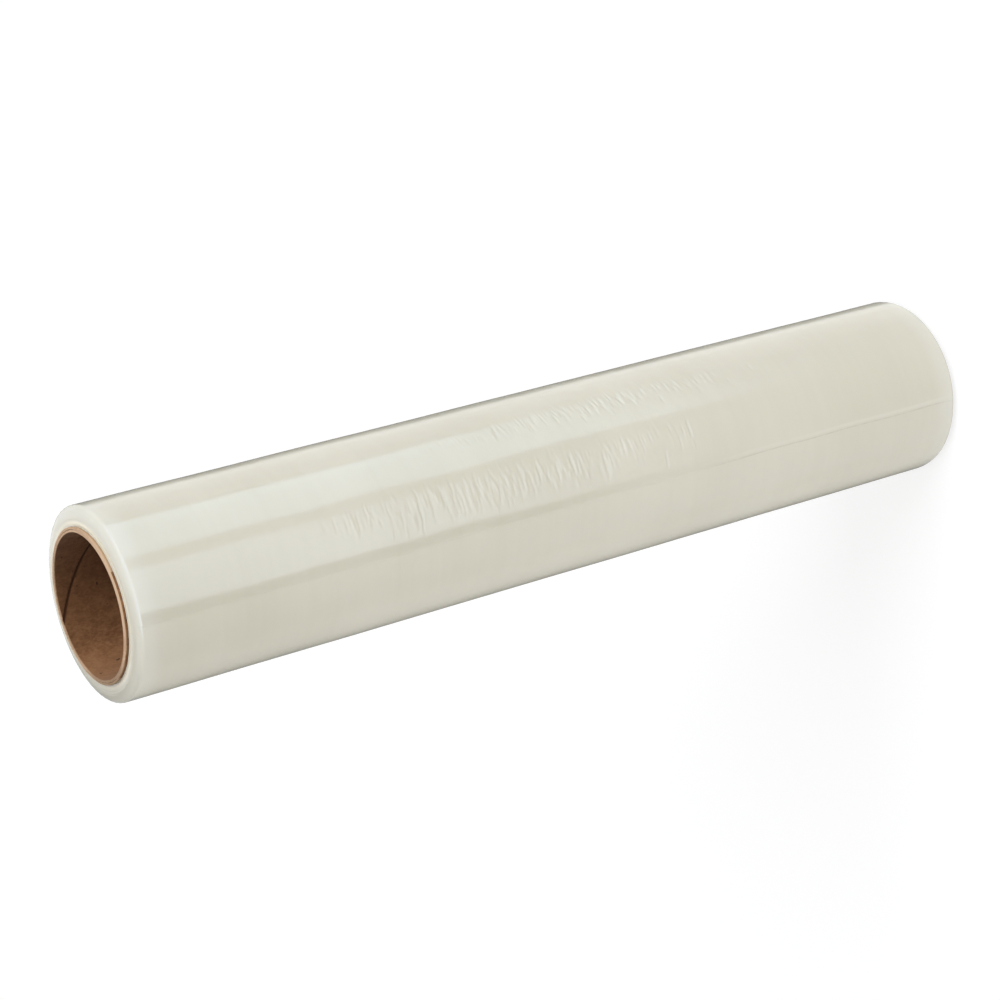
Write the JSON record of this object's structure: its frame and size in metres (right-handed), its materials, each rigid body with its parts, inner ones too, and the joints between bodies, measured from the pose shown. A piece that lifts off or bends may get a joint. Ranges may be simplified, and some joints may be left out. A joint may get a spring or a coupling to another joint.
{
  "type": "protective film roll",
  "caption": "Roll of clear, milky-looking plastic protective film wound on a spiral-wound kraft paper core, with rounded film ends and an open bore.",
  "frame": {"origin": "on the roll's axis at the lower cut end of the core, which the roll stands on", "axes": "+Z along the roll's axis, upwards when it stands on its end; -Y towards the viewer"},
  "size_m": [0.1024, 0.1026, 0.5364],
  "materials": {
    "kraft_paper": "matt spiral-wound kraft board, cut ends lighter",
    "clear_film": "glossy, milky where many clear turns lie on each other"
  },
  "bodies": {
    "root": {"core_tube": "kraft_paper", "film_winding": "clear_film"}
  },
  "joints": []
}
